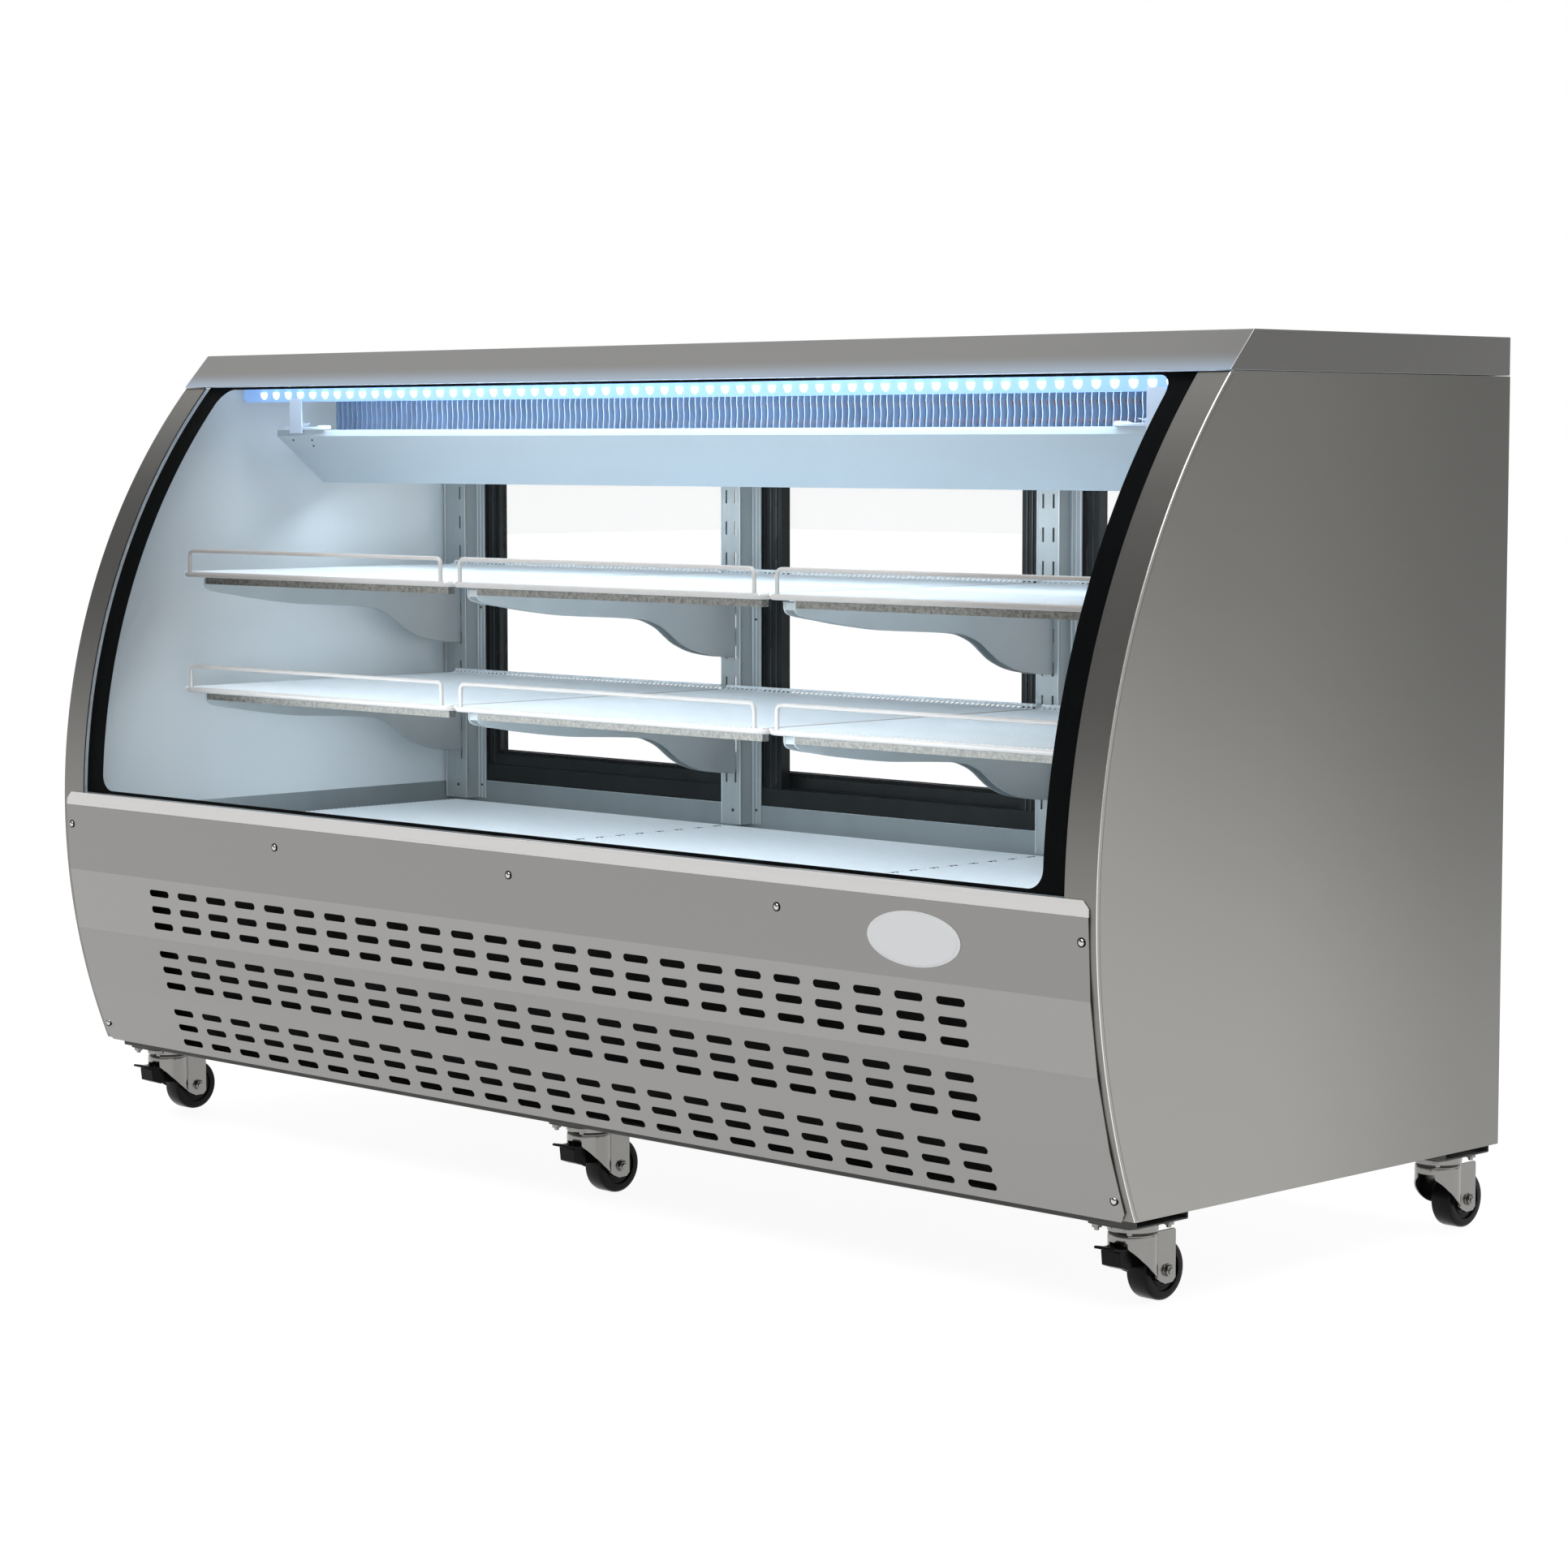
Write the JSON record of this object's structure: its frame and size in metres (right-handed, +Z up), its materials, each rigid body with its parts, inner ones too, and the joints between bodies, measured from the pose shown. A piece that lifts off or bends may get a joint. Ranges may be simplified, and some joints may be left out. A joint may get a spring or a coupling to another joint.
{
  "type": "refrigerated deli case",
  "caption": "Refrigerated deli display case with a curved glass front, lit shelves, sliding rear doors, a louvred stainless base and braked swivel casters",
  "frame": {"origin": "the middle of the footprint's box at floor level, under the wheels", "axes": "+X along the case to the customer's right, -Y towards the customer, +Z up"},
  "size_m": [2.05, 0.846, 1.1604],
  "materials": {
    "stainless": "brushed satin",
    "white_liner": "smooth semi-matt white",
    "curved_glass": "clear, with a black printed border",
    "door_glass": "clear",
    "black_frame": "satin black",
    "grey_standard": "satin grey",
    "grey_bracket": "light grey satin paint",
    "coated_wire": "off-white plastic coating on wire",
    "dark_steel": "dark galvanised, satin",
    "black_enamel": "gloss black enamel",
    "fin_aluminium": "bright fins",
    "light_lens": "milky light lens",
    "black_plastic": "satin black",
    "zinc": "bright zinc plate",
    "black_rubber": "hard black tread"
  },
  "bodies": {
    "cabinet": {"side_panel_right": "stainless", "side_panel_left": "stainless", "end_wall_right": "white_liner", "end_wall_left": "white_liner", "top_cap": "stainless", "ceiling": "white_liner", "front_glass": "curved_glass", "front_panel": "stainless", "insulated_tub": "white_liner", "deck_rack": "coated_wire", "base_frame": "dark_steel", "rear_panel": "stainless", "compressor": "black_enamel", "condenser": "fin_aluminium", "rear_frame": "black_frame", "standard_1": "grey_standard", "standard_2": "grey_standard", "standard_3": "grey_standard", "standard_4": "grey_standard", "bracket_lower_1": "grey_bracket", "bracket_lower_2": "grey_bracket", "bracket_lower_3": "grey_bracket", "bracket_lower_4": "grey_bracket", "bracket_upper_1": "grey_bracket", "bracket_upper_2": "grey_bracket", "bracket_upper_3": "grey_bracket", "bracket_upper_4": "grey_bracket", "shelf_lower_1": "coated_wire", "shelf_lower_2": "coated_wire", "shelf_lower_3": "coated_wire", "shelf_upper_1": "coated_wire", "shelf_upper_2": "coated_wire", "shelf_upper_3": "coated_wire", "drain_pan": "white_liner", "evaporator_coil": "fin_aluminium", "light_bar": "light_lens"},
    "door_left": {"door_frame_left": "black_frame", "door_glass_left": "door_glass"},
    "door_middle": {"door_frame_middle": "black_frame", "door_glass_middle": "door_glass"},
    "door_right": {"door_frame_right": "black_frame", "door_glass_right": "door_glass"},
    "fan": {"condenser_fan_blade": "black_plastic"},
    "switch": {"light_switch": "black_plastic"},
    "swivel_front_left": {"caster_fork_front_left": "zinc"},
    "wheel_front_left": {"caster_wheel_front_left": "black_rubber"},
    "swivel_front_mid": {"caster_fork_front_mid": "zinc"},
    "wheel_front_mid": {"caster_wheel_front_mid": "black_rubber"},
    "swivel_front_right": {"caster_fork_front_right": "zinc"},
    "wheel_front_right": {"caster_wheel_front_right": "black_rubber"},
    "swivel_rear_left": {"caster_fork_rear_left": "zinc"},
    "wheel_rear_left": {"caster_wheel_rear_left": "black_rubber"},
    "swivel_rear_mid": {"caster_fork_rear_mid": "zinc"},
    "wheel_rear_mid": {"caster_wheel_rear_mid": "black_rubber"},
    "swivel_rear_right": {"caster_fork_rear_right": "zinc"},
    "wheel_rear_right": {"caster_wheel_rear_right": "black_rubber"},
    "pedal_left": {"brake_pedal_left": "black_plastic"},
    "pedal_mid": {"brake_pedal_mid": "black_plastic"},
    "pedal_right": {"brake_pedal_right": "black_plastic"}
  },
  "joints": [
    {"name": "door_left_slide", "type": "slide", "parent": "cabinet", "child": "door_left", "axis": [1, 0, 0], "range_m": [0, 0.236]},
    {"name": "door_middle_slide", "type": "slide", "parent": "cabinet", "child": "door_middle", "axis": [1, 0, 0], "range_m": [-0.572, 0.572]},
    {"name": "door_right_slide", "type": "slide", "parent": "cabinet", "child": "door_right", "axis": [1, 0, 0], "range_m": [-0.236, 0]},
    {"name": "condenser_fan_spin", "type": "hinge", "parent": "cabinet", "child": "fan", "pos_m": [0.19, 0.07455, 0.246], "axis": [1, 0, 0], "continuous": true},
    {"name": "light_switch_rock", "type": "hinge", "parent": "cabinet", "child": "switch", "pos_m": [0.86, 0.38355, 0.3], "axis": [1, 0, 0], "range_deg": [-7, 7]},
    {"name": "swivel_front_left_turn", "type": "hinge", "parent": "cabinet", "child": "swivel_front_left", "pos_m": [-0.964, -0.27695, 0.088], "axis": [0, 0, 1], "continuous": true},
    {"name": "wheel_front_left_roll", "type": "hinge", "parent": "swivel_front_left", "child": "wheel_front_left", "pos_m": [-0.964, -0.23495, 0.0374], "axis": [1, 0, 0], "continuous": true},
    {"name": "swivel_front_mid_turn", "type": "hinge", "parent": "cabinet", "child": "swivel_front_mid", "pos_m": [0, -0.27695, 0.088], "axis": [0, 0, 1], "continuous": true},
    {"name": "wheel_front_mid_roll", "type": "hinge", "parent": "swivel_front_mid", "child": "wheel_front_mid", "pos_m": [0, -0.23495, 0.0374], "axis": [1, 0, 0], "continuous": true},
    {"name": "swivel_front_right_turn", "type": "hinge", "parent": "cabinet", "child": "swivel_front_right", "pos_m": [0.964, -0.27695, 0.088], "axis": [0, 0, 1], "continuous": true},
    {"name": "wheel_front_right_roll", "type": "hinge", "parent": "swivel_front_right", "child": "wheel_front_right", "pos_m": [0.964, -0.23495, 0.0374], "axis": [1, 0, 0], "continuous": true},
    {"name": "swivel_rear_left_turn", "type": "hinge", "parent": "cabinet", "child": "swivel_rear_left", "pos_m": [-0.964, 0.34355, 0.088], "axis": [0, 0, 1], "continuous": true},
    {"name": "wheel_rear_left_roll", "type": "hinge", "parent": "swivel_rear_left", "child": "wheel_rear_left", "pos_m": [-0.964, 0.38555, 0.0374], "axis": [1, 0, 0], "continuous": true},
    {"name": "swivel_rear_mid_turn", "type": "hinge", "parent": "cabinet", "child": "swivel_rear_mid", "pos_m": [0, 0.34355, 0.088], "axis": [0, 0, 1], "continuous": true},
    {"name": "wheel_rear_mid_roll", "type": "hinge", "parent": "swivel_rear_mid", "child": "wheel_rear_mid", "pos_m": [0, 0.38555, 0.0374], "axis": [1, 0, 0], "continuous": true},
    {"name": "swivel_rear_right_turn", "type": "hinge", "parent": "cabinet", "child": "swivel_rear_right", "pos_m": [0.964, 0.34355, 0.088], "axis": [0, 0, 1], "continuous": true},
    {"name": "wheel_rear_right_roll", "type": "hinge", "parent": "swivel_rear_right", "child": "wheel_rear_right", "pos_m": [0.964, 0.38555, 0.0374], "axis": [1, 0, 0], "continuous": true},
    {"name": "pedal_left_press", "type": "hinge", "parent": "swivel_front_left", "child": "pedal_left", "pos_m": [-0.964, -0.29695, 0.066], "axis": [1, 0, 0], "range_deg": [0, 3.5]},
    {"name": "pedal_mid_press", "type": "hinge", "parent": "swivel_front_mid", "child": "pedal_mid", "pos_m": [0, -0.29695, 0.066], "axis": [1, 0, 0], "range_deg": [0, 3.5]},
    {"name": "pedal_right_press", "type": "hinge", "parent": "swivel_front_right", "child": "pedal_right", "pos_m": [0.964, -0.29695, 0.066], "axis": [1, 0, 0], "range_deg": [0, 3.5]}
  ]
}
